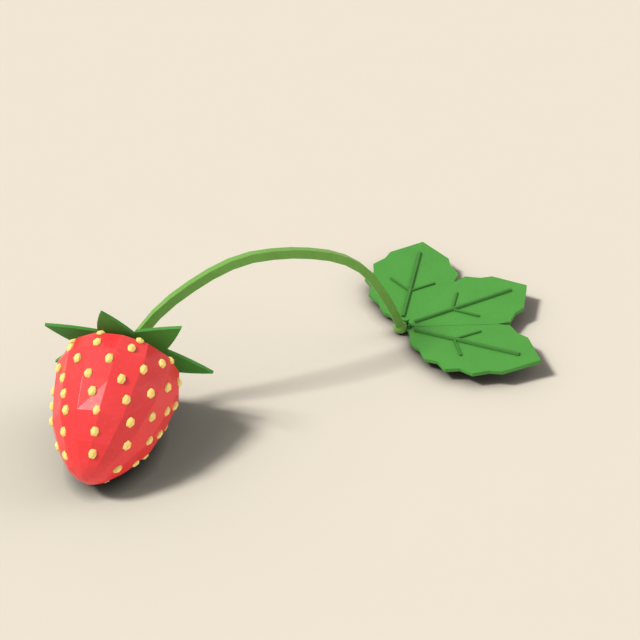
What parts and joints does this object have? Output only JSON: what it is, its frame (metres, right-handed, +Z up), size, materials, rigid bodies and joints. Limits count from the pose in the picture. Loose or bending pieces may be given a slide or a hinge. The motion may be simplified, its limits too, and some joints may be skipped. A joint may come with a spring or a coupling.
{
  "type": "strawberry",
  "caption": "Picked strawberry lying on its side: faceted red berry with raised yellow seeds, green star calyx, arched stem and a toothed leaf of three leaflets.",
  "frame": {"origin": "middle of the small flat spot under the berry, on the surface that the strawberry lies on", "axes": "+Z up from the surface; +X over the ground from the berry towards the leaf; +Y the way the berry's calyx end roughly faces"},
  "size_m": [0.1261, 0.109, 0.0388],
  "materials": {
    "berry_flesh": "satin",
    "seeds": "satin",
    "calyx": "matt",
    "stem": "satin",
    "leaf": "satin",
    "leaf_veins": "satin"
  },
  "bodies": {
    "root": {"berry": "berry_flesh", "calyx": "calyx", "stem": "stem", "leaflet_back": "leaf", "leaflet_middle": "leaf", "leaflet_front": "leaf"}
  },
  "joints": []
}
